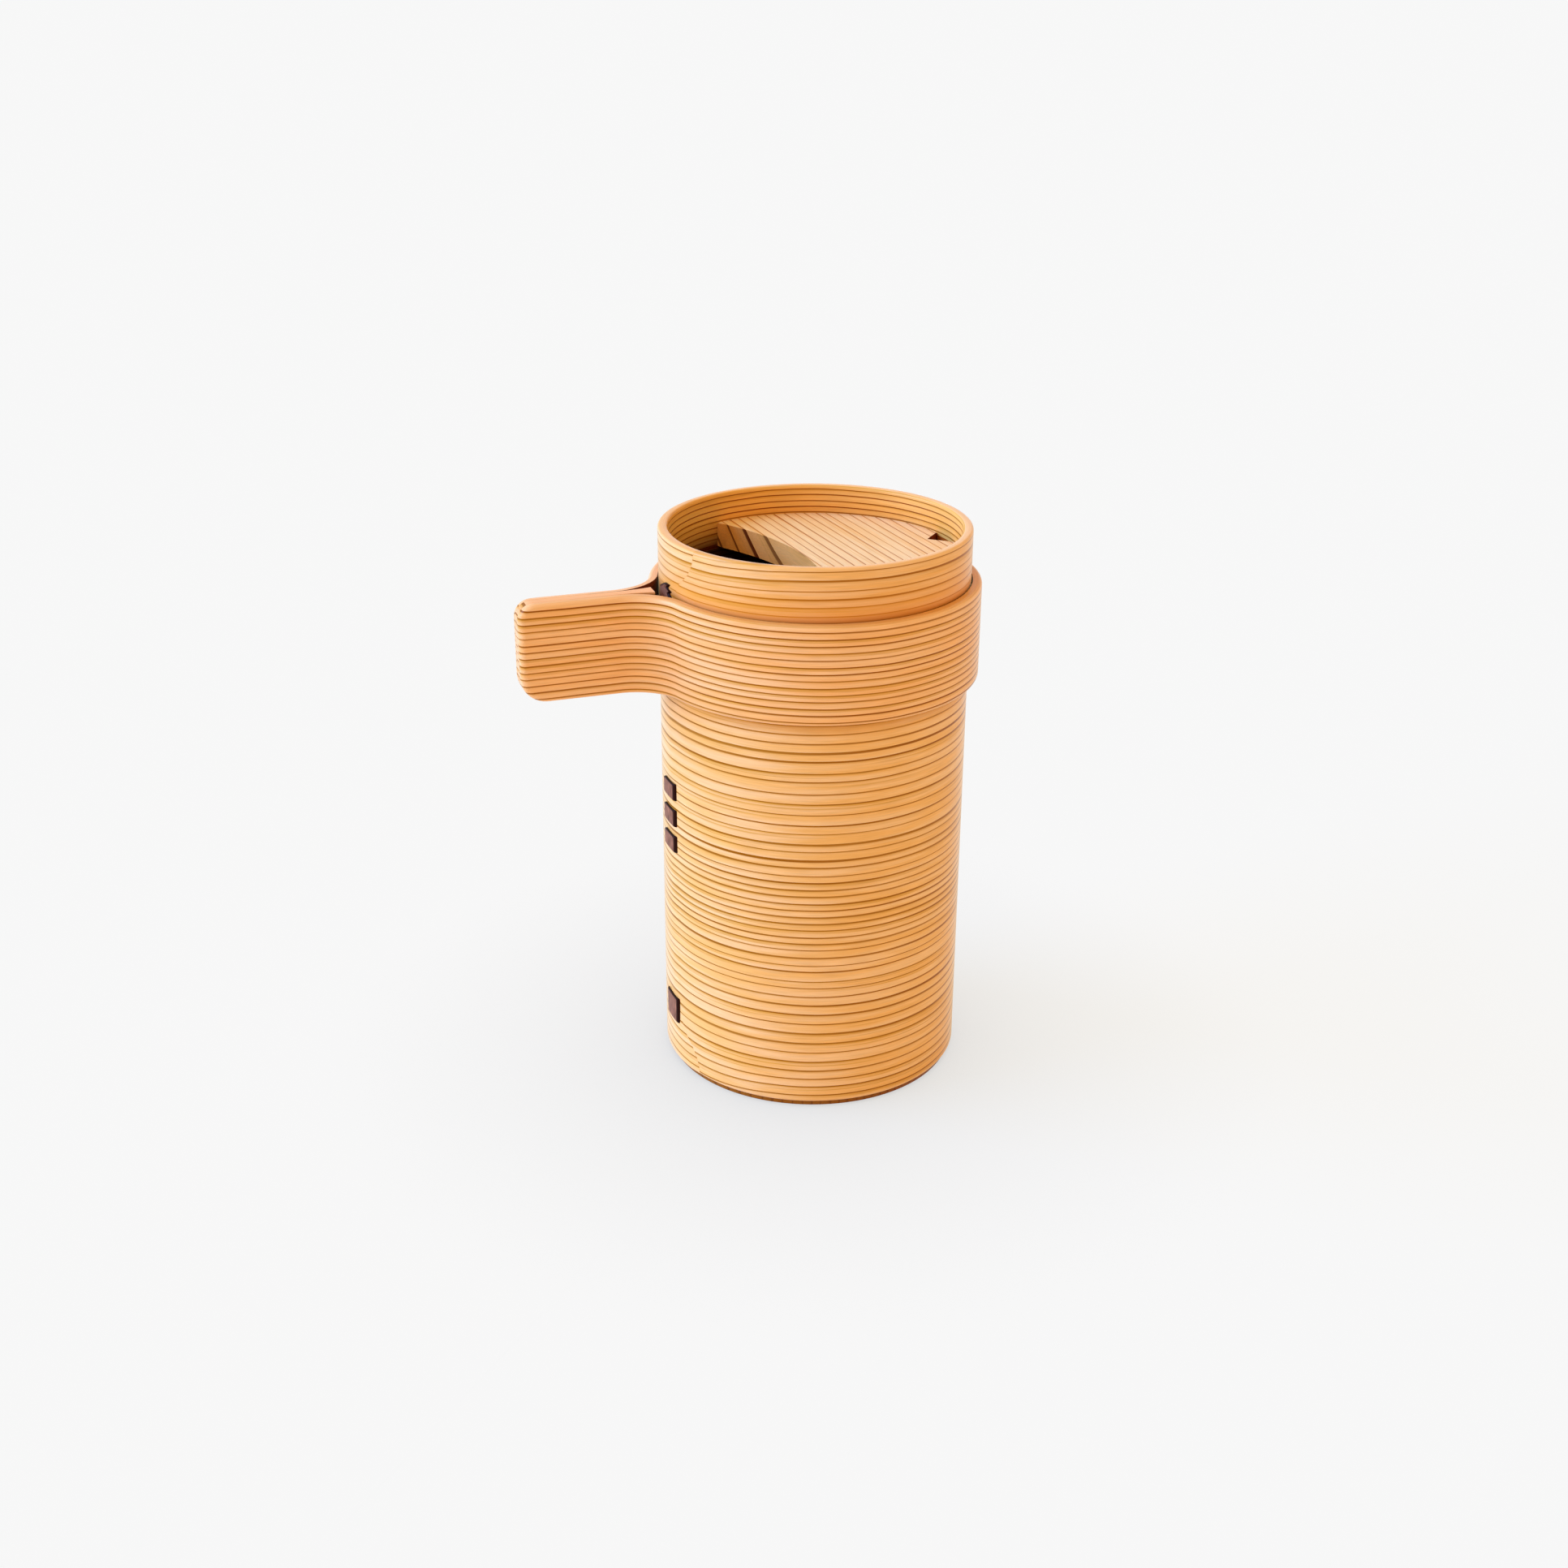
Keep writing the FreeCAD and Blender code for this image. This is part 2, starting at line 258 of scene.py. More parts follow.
@dataclass(frozen=True)
class CedarFinish:
    """Quarter-sawn cedar under a clear satin finish.

    The eye gets pale honey earlywood between thin brown growth lines. Each line deepens slowly from below and
    ends sharply above, where the next year's pale wood starts, and no two are alike in width or depth. Fine
    fibres run along the board, and the finish adds a soft sheen that pales the wood where light grazes it.
    """

    wood: Wood
    # The year's early wood, its paler patches, the warm wood below a line, and the line
    early: str = "#fab568"
    tint: str = "#fec286"
    warm: str = "#d28c16"
    late: str = "#a25a00"
    # Growth lines: their distance apart, and where in a year the board starts
    pitch: float = 2.13
    phase: float = 0.0
    # By how many years the lines run ahead and behind in turn, over what length across the board, from where
    swing: float = 0.0
    swing_length: float = 65.0
    swing_start: float = 20.0
    # By how many years a single line may be early, and over what length across the board that changes
    jitter: float = 0.5
    jitter_length: float = 2.6
    # How far the lines wander from straight, over what length along the fibres, and how fast that changes
    # across the rings, as a share of how fast it does along them
    wave: float = 0.22
    wave_length: float = 48.0
    wave_across: float = 0.6
    # Length along the fibres over which a line changes its width and depth, the distance in the noise between
    # the draws of two years, and the range in which most draws lie
    line_length: float = 70.0
    year_step: float = 7.31
    draw_range: Pair = (0.3, 0.7)
    # Share of a ring that is dark latewood in the thinnest and the thickest line, how rare thick ones are,
    # the share of a line in which it deepens, and the depth of the faintest
    thin: float = 0.16
    thick: float = 0.25
    rarity: float = 2.5
    deepen: float = 0.35
    faint: float = 0.7
    # The warm wood below a line: how many times as wide as the line it is, and its faintest depth
    halo: Pair = (1.8, 3.0)
    halo_faint: float = 0.65
    # Faint false lines inside a year: how long before its end, in which last part of the year up to them they
    # show, in which draws they come up, and how deep
    false_lead: float = 0.4
    false_start: float = 0.82
    false_draws: Pair = (0.5, 0.9)
    false_depth: float = 0.7
    # Paler patches: their size along the fibres, through the board and across the rings, and their soft edge
    patch_size: Triple = (33.333, 3.3333, 2.5)
    patch_range: Pair = (0.35, 0.65)
    # Fibres, drawn several times as coarse as real ones so that they show: their size, the range of their
    # noise, and how far they darken and pale the wood
    fibre_length: float = 7.0
    fibre_width: float = 0.22
    fibre_range: Pair = (0.25, 0.75)
    fibre_shade: Pair = (0.87, 1.09)
    # The finish: its roughness from fibre to fibre, and the relief of lines and fibres that shows through it
    roughness: Pair = (0.19, 0.31)
    ior: float = 1.2
    relief: float = 0.03
    relief_strength: float = 0.3
    fibre_relief: float = 0.4
    # Raised fibre ends under the finish, which veil the wood where it is seen at a low angle
    sheen: float = 0.3
    sheen_roughness: float = 0.25
    # Painted shade and bounce light in corners, each by its height, how far it reaches from there, and its
    # colour, then the share of that colour in the corner itself, and the power by which it falls off
    corners: tuple[tuple[float, float, str], ...] = ()
    corner_share: float = 0.6
    corner_fall: float = 1.5

    def rings(self, tree: Tree, grain: Socket) -> tuple[Node, Node, Node]:
        """Counts the years across the board.

        Args:
            tree: the material's node tree.
            grain: the place in the board, in millimetres.

        Returns:
            Nodes that give the year, how far through it the wood is, and how close together the lines are.
        """
        wander_rate = (1 / self.wave_length, 1 / self.wave_length, self.wave_across / self.wave_length)
        wander_place = add_node(tree, "VectorMath", {0: grain, 1: wander_rate}, operation="MULTIPLY")
        wander = add_node(tree, "TexNoise", {"Vector": wander_place, "Scale": 1.0, "Detail": 3.0})
        # Most of the noise lies in the middle half of its range, so it is stretched to twice the wander
        reach = 2 * self.wave
        shift = add_node(tree, "MapRange", {"Value": wander, "To Min": -reach, "To Max": reach})
        place = add_node(tree, "SeparateXYZ", {0: grain})
        height = add_node(tree, "Math", {0: place.outputs[2], 1: shift}, operation="ADD")
        rate = 1 / self.pitch
        even = add_node(tree, "Math", {0: height, 1: rate, 2: self.phase}, operation="MULTIPLY_ADD")
        turn = 2 * math.pi / self.swing_length
        start = -turn * self.swing_start
        angle = add_node(tree, "Math", {0: height, 1: turn, 2: start}, operation="MULTIPLY_ADD")
        swing = add_node(tree, "Math", {0: angle}, operation="SINE")
        swung = add_node(tree, "Math", {0: swing, 1: -self.swing, 2: even}, operation="MULTIPLY_ADD")
        years = add_node(tree, "Math", {0: height, 1: self.jitter_length}, operation="DIVIDE")
        uneven = add_node(
            tree, "TexNoise", {"W": years, "Scale": 1.0, "Detail": 1.0}, noise_dimensions="1D"
        )
        ring = add_node(tree, "Math", {0: uneven, 1: self.jitter, 2: swung}, operation="MULTIPLY_ADD")
        year = add_node(tree, "Math", {0: ring}, operation="FLOOR")
        season = add_node(tree, "Math", {0: ring}, operation="FRACT")
        packed = add_node(tree, "Math", {0: angle}, operation="COSINE")
        steepest = -self.swing * turn * self.pitch
        close = add_node(tree, "Math", {0: packed, 1: steepest, 2: 1.0}, operation="MULTIPLY_ADD")
        return year, season, close

    def draws(self, tree: Tree, grain: Socket, year: Node) -> Node:
        """Draws three chances for each year, which change slowly along its line.

        Args:
            tree: the material's node tree.
            grain: the place in the board, in millimetres.
            year: the node that gives the year.

        Returns:
            A node whose three outputs are chances from 0 to 1.
        """
        place = add_node(tree, "SeparateXYZ", {0: grain})
        along = add_node(tree, "Math", {0: place.outputs[0], 1: self.line_length}, operation="DIVIDE")
        apart = add_node(tree, "Math", {0: year, 1: self.year_step}, operation="MULTIPLY")
        spot = add_node(tree, "CombineXYZ", {0: along, 1: apart})
        chance = add_node(
            tree, "TexNoise", {"Vector": spot, "Scale": 1.0, "Detail": 0.0}, noise_dimensions="2D"
        )
        low, high = [(edge, edge, edge) for edge in self.draw_range]
        wide = add_node(
            tree, "MapRange", {"Vector": chance.outputs["Color"], 7: low, 8: high}, data_type="FLOAT_VECTOR"
        )
        return add_node(tree, "SeparateXYZ", {0: wide.outputs["Vector"]})

    def growth_lines(self, tree: Tree, grain: Socket) -> tuple[Node, Node]:
        """Draws the growth lines.

        Args:
            tree: the material's node tree.
            grain: the place in the board, in millimetres.

        Returns:
            Nodes that give how far the wood is latewood, and how far it is warmed on the way, from 0 to 1.
        """
        year, season, close = self.rings(tree, grain)
        draws = self.draws(tree, grain, year)
        width_draw, depth_draw, halo_draw = draws.outputs
        smooth = {"interpolation_type": "SMOOTHSTEP"}
        # The line, from where it begins to the end of its year
        rare = add_node(tree, "Math", {0: width_draw, 1: self.rarity}, operation="POWER")
        size = add_node(tree, "MapRange", {"Value": rare, "To Min": self.thin, "To Max": self.thick})
        share = add_node(tree, "Math", {0: size, 1: close}, operation="MULTIPLY")
        begins = add_node(tree, "Math", {0: 1.0, 1: share}, operation="SUBTRACT")
        deepening = {0: begins, 1: 1 - self.deepen, 2: self.deepen}
        full = add_node(tree, "Math", deepening, operation="MULTIPLY_ADD")
        depth = add_node(tree, "MapRange", {"Value": depth_draw, "To Min": self.faint})
        late_range = {"Value": season, "From Min": begins, "From Max": full, "To Max": depth}
        late = add_node(tree, "MapRange", late_range, **smooth)
        # A false line, in few of the years
        led = add_node(tree, "Math", {0: season, 1: self.false_lead}, operation="ADD")
        false_season = add_node(tree, "Math", {0: led}, operation="FRACT")
        low, high = self.false_draws
        false_range = {"Value": halo_draw, "From Min": low, "From Max": high, "To Max": self.false_depth}
        false_depth = add_node(tree, "MapRange", false_range)
        false_line = {"Value": false_season, "From Min": self.false_start, "To Max": false_depth}
        false_ring = add_node(tree, "MapRange", false_line, **smooth)
        # The warm wood that leads up to the line
        narrow, broad = self.halo
        width = add_node(tree, "MapRange", {"Value": halo_draw, "To Min": narrow, "To Max": broad})
        fade = add_node(tree, "Math", {0: share, 1: width}, operation="MULTIPLY")
        soft_start = add_node(tree, "Math", {0: 1.0, 1: fade}, operation="SUBTRACT")
        soft_depth = add_node(tree, "MapRange", {"Value": halo_draw, "To Min": self.halo_faint})
        halo = {"Value": season, "From Min": soft_start, "To Max": soft_depth}
        warm = add_node(tree, "MapRange", halo, **smooth)
        warmth = add_node(tree, "Math", {0: warm, 1: false_ring}, operation="MAXIMUM")
        return late, warmth

    def painted_corner_shade(self, tree: Tree, wood: Socket) -> Socket:
        """Paints shade on the wood in the corners, near each of the given heights.

        Args:
            tree: the material's node tree.
            wood: the wood's colour.

        Returns:
            The colour with the corners darkened.
        """
        place = add_node(tree, "TexCoord")
        height = add_node(tree, "SeparateXYZ", {0: place.outputs["Object"]})
        # Each corner's colour is painted shade or bounce light, mixed in by nearness to its height
        for corner, reach, shade_colour in self.corners:
            away = add_node(tree, "Math", {0: height.outputs[2], 1: corner * MM}, operation="SUBTRACT")
            apart = add_node(tree, "Math", {0: away}, operation="ABSOLUTE")
            nearness = {"Value": apart, "From Max": reach * MM, "To Min": 1.0, "To Max": 0.0}
            near = add_node(tree, "MapRange", nearness)
            fall = add_node(tree, "Math", {0: near, 1: self.corner_fall}, operation="POWER")
            share = add_node(tree, "Math", {0: fall, 1: self.corner_share}, operation="MULTIPLY")
            shaded_wood = add_node(tree, "Mix", {0: share, 6: wood, 7: linear(shade_colour)}, data_type="RGBA")
            wood = shaded_wood.outputs[2]
        return wood

    def make(self) -> Material:
        """Makes the material."""
        material, tree = new_tree(self.wood.value)
        grain = add_node(tree, "Attribute", attribute_name=GRAIN).outputs["Vector"]
        late, warm = self.growth_lines(tree, grain)
        patch_rate = [1 / size for size in self.patch_size]
        patch_place = add_node(tree, "VectorMath", {0: grain, 1: patch_rate}, operation="MULTIPLY")
        patch = add_node(tree, "TexNoise", {"Vector": patch_place, "Scale": 1.0, "Detail": 2.0})
        low, high = self.patch_range
        patch_edge = {"Value": patch, "From Min": low, "From Max": high}
        pale = add_node(tree, "MapRange", patch_edge, interpolation_type="SMOOTHSTEP")
        colour = linear(self.early)
        for share, shade in ((pale, self.tint), (warm, self.warm), (late, self.late)):
            mixed = add_node(tree, "Mix", {0: share, 6: colour, 7: linear(shade)}, data_type="RGBA")
            colour = mixed.outputs[2]
        fibre_rate = (1 / self.fibre_length, 1 / self.fibre_width, 1 / self.fibre_width)
        fibre_place = add_node(tree, "VectorMath", {0: grain, 1: fibre_rate}, operation="MULTIPLY")
        fibre = add_node(tree, "TexNoise", {"Vector": fibre_place, "Scale": 1.0, "Detail": 2.0})
        low, high = self.fibre_range
        dark, light = self.fibre_shade
        fibre_range = {"Value": fibre, "From Min": low, "From Max": high, "To Min": dark, "To Max": light}
        streak = add_node(tree, "MapRange", fibre_range)
        streaked = add_node(tree, "VectorMath", {0: colour, 1: streak}, operation="MULTIPLY")
        smoothest, roughest = self.roughness
        rough = add_node(tree, "MapRange", {"Value": fibre, "To Min": smoothest, "To Max": roughest})
        relief = add_node(tree, "Math", {0: fibre, 1: self.fibre_relief, 2: late}, operation="MULTIPLY_ADD")
        raised = {"Strength": self.relief_strength, "Distance": self.relief * MM, "Height": relief}
        shader = add_node(
            tree,
            "BsdfPrincipled",
            {
                "Base Color": self.painted_corner_shade(tree, streaked.outputs[0]),
                "Roughness": rough,
                "IOR": self.ior,
                "Sheen Weight": self.sheen,
                "Sheen Roughness": self.sheen_roughness,
                "Normal": add_node(tree, "Bump", raised),
            },
        )
        add_node(tree, "OutputMaterial", {0: shader})
        return material


def cedar_finishes() -> Woods:
    """Makes the jug's cedar finishes, each for its own cut and finish, or for the shade painted on it.

    Returns:
        The materials by finish.
    """
    band_low, band_high = box_mm("handle_band")
    # The wall's lines swing between close and wide, and amber shade and bounce light are painted along the
    # band's edges
    painted_corner_shade = ((band_low.z, 4.5, "#c87a0c"), (band_high.z, 14.0, "#f08e28"), (band_high.z, 2.0, "#b85808"))
    wall = CedarFinish(Wood.WALL, swing=1.0, sheen=0.6, corners=painted_corner_shade)
    # Inside the rim: closer, redder lines, a deeper orange painted for the bounce light inside the rim, and
    # painted shade that darkens down to the plate
    recess = replace(
        wall, wood=Wood.RECESS, early="#f6ae58", tint="#f9b866", late="#8c3a00", sheen=0.1,
        pitch=1.5, swing=0.0, jitter=0.3, thin=0.2,
        corners=((box_mm("top_plate")[0].z, 8.0, "#4a0c06"),), corner_share=1.0,
    )
    # Below the plate: near black, painted shade so that the opening looks deep
    bore = replace(
        recess, wood=Wood.BORE, early="#3a1d0e", tint="#40210f", warm="#301608", late="#1c0b03", corners=()
    )
    # A finer strip than the wall's, with even, close lines and a rosy cast
    band = CedarFinish(
        Wood.BAND, early="#feb470", tint="#ffbf86", late="#9e5200",
        pitch=1.65, phase=0.24, jitter=0.2, thin=0.21, thick=0.26,
    )
    # The band's inner face: a dark red brown painted as the shade in the gap at the handle's root
    inside = replace(band, wood=Wood.INSIDE, early="#6a2814", tint="#702c16", warm="#5c2010", late="#481408")
    # The filler's own wood: lines a little further apart than the band's, and no veil
    core = CedarFinish(Wood.CORE, early="#feb274", tint="#ffba82", pitch=1.9, phase=0.75, sheen=0.0)
    # Sawn and planed: paler than the bent strips, with wider years and thin lines
    plate = CedarFinish(
        Wood.PLATE, early="#ffd09a", tint="#ffd7a8", warm="#f0aa50", late="#a85000",
        pitch=2.5, thin=0.13, thick=0.18,
    )
    # Sawn across the fibres, so that the lines drink in the oil: near black on honey, and matt
    cut = replace(
        plate, wood=Wood.CUT, early="#fcb264", tint="#feb86e", warm="#e8a050", late="#5c0c02",
        thin=0.18, thick=0.2, ior=1.1, sheen=0.0,
    )
    # Painted shade: dark red brown in the notch, and brown on the wall behind it
    notch = replace(cut, wood=Wood.NOTCH, early="#8c3c1a", tint="#92401c", warm="#7a3014", late="#4a1006")
    spout = replace(notch, wood=Wood.SPOUT, early="#b8581a", tint="#be5e1e", warm="#a44c12", late="#803408")
    # The foot: a thin strip under the wall, painted dark as the shade it lies in
    foot = CedarFinish(
        Wood.FOOT, early="#98560e", tint="#9e5a12", warm="#8e4e0a", late="#824408", pitch=2.2, sheen=0.0
    )
    finishes = (wall, recess, bore, spout, band, inside, core, plate, cut, notch, foot)
    return {finish.wood: finish.make() for finish in finishes}


@dataclass(frozen=True)
class BarkFinish:
    """Cherry bark, split thin and scraped smooth.

    The eye gets a dark red brown with a low gloss and fine paler streaks across the strip, with painted
    shade that turns it near black where it bends in and along its cut edge.
    """

    name: str = "scraped_cherry_bark"
    dark: str = "#280a04"
    light: str = "#b87458"
    # Streaks: their size, the range of their noise, and the least share of the light colour
    streak_length: float = 3.0
    streak_width: float = 0.18
    streak_range: Pair = (0.35, 0.7)
    streak_least: float = 0.18
    # Painted shade where the strip bends into its slit, from the near end, and along its cut upper edge: how
    # far each is full, and by where it has faded
    bend: Pair = (0.9, 1.44)
    cut: Pair = (0.25, 0.625)
    roughness: Pair = (0.28, 0.48)
    ior: float = 1.35
    gloss: float = 0.08
    relief: float = 0.05
    relief_strength: float = 0.4

    def make(self) -> Material:
        """Makes the material."""
        material, tree = new_tree(self.name)
        place = add_node(tree, "Attribute", attribute_name=GRAIN).outputs["Vector"]
        streak_rate = (1 / self.streak_width, 0.0, 1 / self.streak_length)
        streak_place = add_node(tree, "VectorMath", {0: place, 1: streak_rate}, operation="MULTIPLY")
        streak = add_node(tree, "TexNoise", {"Vector": streak_place, "Scale": 1.0, "Detail": 3.0})
        along, below, _ = add_node(tree, "SeparateXYZ", {0: place}).outputs
        shares: list[Node] = []
        for value, (low, high), least in (
            (streak, self.streak_range, self.streak_least),
            (along, self.bend, 0.0),
            (below, self.cut, 0.0),
        ):
            fade = {"Value": value, "From Min": low, "From Max": high, "To Min": least}
            shares.append(add_node(tree, "MapRange", fade, interpolation_type="SMOOTHSTEP"))
        # bent and cut are painted shade: the slit's shade at the near end and along the upper edge
        streaks, bent, cut = shares
        flat = add_node(tree, "Math", {0: bent, 1: cut}, operation="MULTIPLY")
        paler = add_node(tree, "Math", {0: flat, 1: streaks}, operation="MULTIPLY")
        colours = {0: paler, 6: linear(self.dark), 7: linear(self.light)}
        smoothest, roughest = self.roughness
        raised = {"Strength": self.relief_strength, "Distance": self.relief * MM, "Height": streak}
        shader = add_node(
            tree,
            "BsdfPrincipled",
            {
                "Base Color": add_node(tree, "Mix", colours, data_type="RGBA").outputs[2],
                "Roughness": add_node(
                    tree, "MapRange", {"Value": streak, "To Min": smoothest, "To Max": roughest}
                ),
                "IOR": self.ior,
                "Specular IOR Level": self.gloss,
                "Normal": add_node(tree, "Bump", raised),
            },
        )
        add_node(tree, "OutputMaterial", {0: shader})
        return material


@dataclass
class LappedWall:
    """The body's wall: one strip bent round, whose outer end is a tongue lapped over its inner end."""

    thickness: float = 2.3
    rim_round: float = 0.7
    # How far the tongue stands out at its edge, and over how many degrees it runs out into the wall
    lap_rise: float = 0.2
    lap_sweep: float = 60.0
    # Degrees from the handle to the straight part of the tongue's edge
    seam_angle: float = 9.2
    # The tongue's flares: how far they reach, over what length, and how far from the rim and base they start
    flare_reach: float = 8.3
    flare_length: float = 16.0
    flare_start: float = 16.0
    # The tongue is planed thin over this angle, down to this share of its rise at its edge, and to next to
    # nothing where the edge is straight, so that the growth lines seem to run on there
    planed_angle: float = 5.0
    planed_share: float = 0.12
    flush_share: float = 0.03
    # How far the growth lines under a flare lie from those on it
    grain_step: float = 1.1
    row_height: float = 1.2
    round_steps: int = 6
    # Columns of points: degrees apart, degrees from the tongue's edge for the first ones, the angle of the
    # step down from that edge, and the share of it at which the step's foot stands
    column_angle: float = 1.5
    edge_turns: tuple[float, ...] = (0.0, 0.1, 0.3, 0.7)
    step_angle: float = 0.04
    foot_share: float = 0.8
    # A face that lies deeper than this share of the thickness is part of the bore
    bore_share: float = 0.9
    radius: float = field(init=False)
    bottom: float = field(init=False)
    top: float = field(init=False)

    def __post_init__(self) -> None:
        """Takes the wall's place from the frame."""
        low, high = box_mm("body_wall")
        self.radius = high.x
        self.bottom = low.z
        self.top = high.z

    @property
    def seam_y(self) -> float:
        """How far the straight part of the seam lies to the side of the handle."""
        return self.radius * math.sin(math.radians(self.seam_angle))

    def flare(self, height: float) -> float:
        """How far the tongue's edge has widened at a height, by two equal arcs out to its full reach."""
        along = max(height - (self.top - self.flare_start), self.bottom + self.flare_start - height, 0.0)
        along = min(along, self.flare_length)
        turn = 2 * math.atan(self.flare_reach / self.flare_length)
        radius = self.flare_length / (2 * math.sin(turn))
        if along <= self.flare_length / 2:
            return radius - math.sqrt(radius ** 2 - along ** 2)
        return self.flare_reach - radius + math.sqrt(radius ** 2 - (self.flare_length - along) ** 2)

    def flare_angle(self, height: float) -> float:
        """The widening of the tongue as degrees round the body."""
        widened = math.degrees(math.asin((self.seam_y + self.flare(height)) / self.radius))
        return widened - self.seam_angle

    def outer_radius(self, degrees: float) -> float:
        """Distance from the axis to the lap's face: a circle of the body's radius, set off centre."""
        centre = self.seam_angle - self.lap_sweep + 90.0
        offset = self.lap_rise / math.sin(math.radians(self.lap_sweep))
        turn = math.radians(degrees - centre)
        face = offset * math.cos(turn) + math.sqrt(self.radius ** 2 - (offset * math.sin(turn)) ** 2)
        return max(face, self.radius)

    def profile(self) -> list[tuple[bool, float, float]]:
        """The wall's section, from the base up its outer face and down its bore.

        Returns:
            For each point, whether it is on the outer side, how far it lies inside its face, and its height.
        """
        count = round((self.top - self.bottom) / self.row_height)
        rows = spread(self.bottom + self.rim_round, self.top - self.rim_round, count)
        bend = [math.radians(angle) for angle in spread(0.0, 90.0, self.round_steps)[1:]]
        edge = [(self.rim_round * (1 - math.cos(angle)), self.rim_round * math.sin(angle)) for angle in bend]
        side = [(depth, rows[0] - rise) for depth, rise in reversed(edge)]
        side += [(0.0, height) for height in rows]
        side += [(depth, rows[-1] + rise) for depth, rise in edge]
        outer = [(True, depth, height) for depth, height in side]
        return outer + [(False, depth, height) for depth, height in reversed(side)]

    def column(self, turn: float, foot: bool = False) -> Section:
        """One upright section of the wall.

        Args:
            turn: degrees along the strip from the tongue's edge.
            foot: whether it is the foot of the tongue's edge, which is of the tongue's wood.

        Returns:
            The section's points, with their places in the strip.
        """
        nearness = max(1 - min(turn, 360.0 - turn) / self.lap_sweep, 0.0)
        hold = nearness * nearness * (3 - 2 * nearness)
        under = turn > 180.0 and not foot
        along = 0.0 if foot else self.radius * math.radians(min(turn, 360.0 - turn))
        section: Section = []
        for outer, depth, height in self.profile():
            flared = self.flare(height) / self.flare_reach
            angle = self.seam_angle + self.flare_angle(height) * hold - turn
            edge = max(self.planed_share * flared, self.flush_share)
            planed = min(edge + (1 - edge) * turn / self.planed_angle, 1.0)
            rise = (self.outer_radius(angle) - self.radius) * planed if turn < 180.0 else 0.0
            away = self.radius + rise - depth if outer else self.radius - self.thickness + depth
            x = -away * math.cos(math.radians(angle))
            y = -away * math.sin(math.radians(angle))
            step = self.grain_step * hold * flared if under else 0.0
            section.append(((x, y, height), (along, away - self.radius, height + step)))
        return section

    def build(self, woods: Woods) -> None:
        """Builds the wall in its finishes."""
        count = round(360.0 / self.column_angle)
        turns = list(self.edge_turns) + spread(self.column_angle, 360.0 - self.column_angle, count - 1)
        turns += [360.0 - angle for angle in reversed(self.edge_turns[1:])] + [360.0 - self.step_angle]
        sections = [self.column(turn) for turn in turns]
        sections.append(self.column(360.0 - self.foot_share * self.step_angle, foot=True))
        finishes = [woods[wood] for wood in (Wood.WALL, Wood.RECESS, Wood.BORE, Wood.SPOUT)]
        self.dress(make_piece("lapped_wall", loft(sections, closed=True), finishes, "body_wall"))

    def dress(self, piece: Piece) -> None:
        """Gives the inner face its painted shade: deeper orange above the plate, near black below it, and
        brown behind the plate's notch.
        """
        recess, bore, spout = 1, 2, 3
        low, high = box_mm("top_plate")
        for face in piece.data.polygons:
            centre = face.center / MM
            if math.hypot(centre.x, centre.y) > self.radius - self.bore_share * self.thickness:
                continue
            face.material_index = bore if centre.z < low.z else recess
            # The plate's opening is on -X, and on +X only its notch shows the wall beside it
            if centre.x > 0 and low.z < centre.z < high.z - self.row_height / 2:
                face.material_index = spout


@dataclass
class StripEnd:
    """The outline of the handle's free end, seen from the side: a strip with two rounded corners."""

    low: float
    high: float
    corner_top: float = 4.0
    corner_bottom: float = 6.0
    # Distances from both edges at which the points stand, and how many stand between these
    edge_rows: tuple[float, ...] = (0.0, 0.06, 0.18, 0.36, 0.62, 1.0, 1.6)
    middle_rows: int = 10

    def low_at(self, along: float) -> float:
        """Lower edge at a distance from the free end."""
        return self.low + round_over(along, self.corner_bottom)

    def high_at(self, along: float) -> float:
        """Upper edge at a distance from the free end."""
        return self.high - round_over(along, self.corner_top)

    def inset(self, along: float, height: float) -> float:
        """How far a point lies inside the outline."""
        if along < self.corner_top and height > self.high - self.corner_top:
            away = math.hypot(self.corner_top - along, height - self.high + self.corner_top)
            return max(self.corner_top - away, 0.0)
        if along < self.corner_bottom and height < self.low + self.corner_bottom:
            away = math.hypot(self.corner_bottom - along, self.low + self.corner_bottom - height)
            return max(self.corner_bottom - away, 0.0)
        return max(min(along, height - self.low, self.high - height), 0.0)

    def rows(self, along: float) -> list[float]:
        """Heights of a section's points at a distance from the free end."""
        low = self.low_at(along)
        high = self.high_at(along)
        *edge, inner = self.edge_rows
        middle = spread(low + inner, high - inner, self.middle_rows)
        return [low + inset for inset in edge] + middle + [high - inset for inset in reversed(edge)]


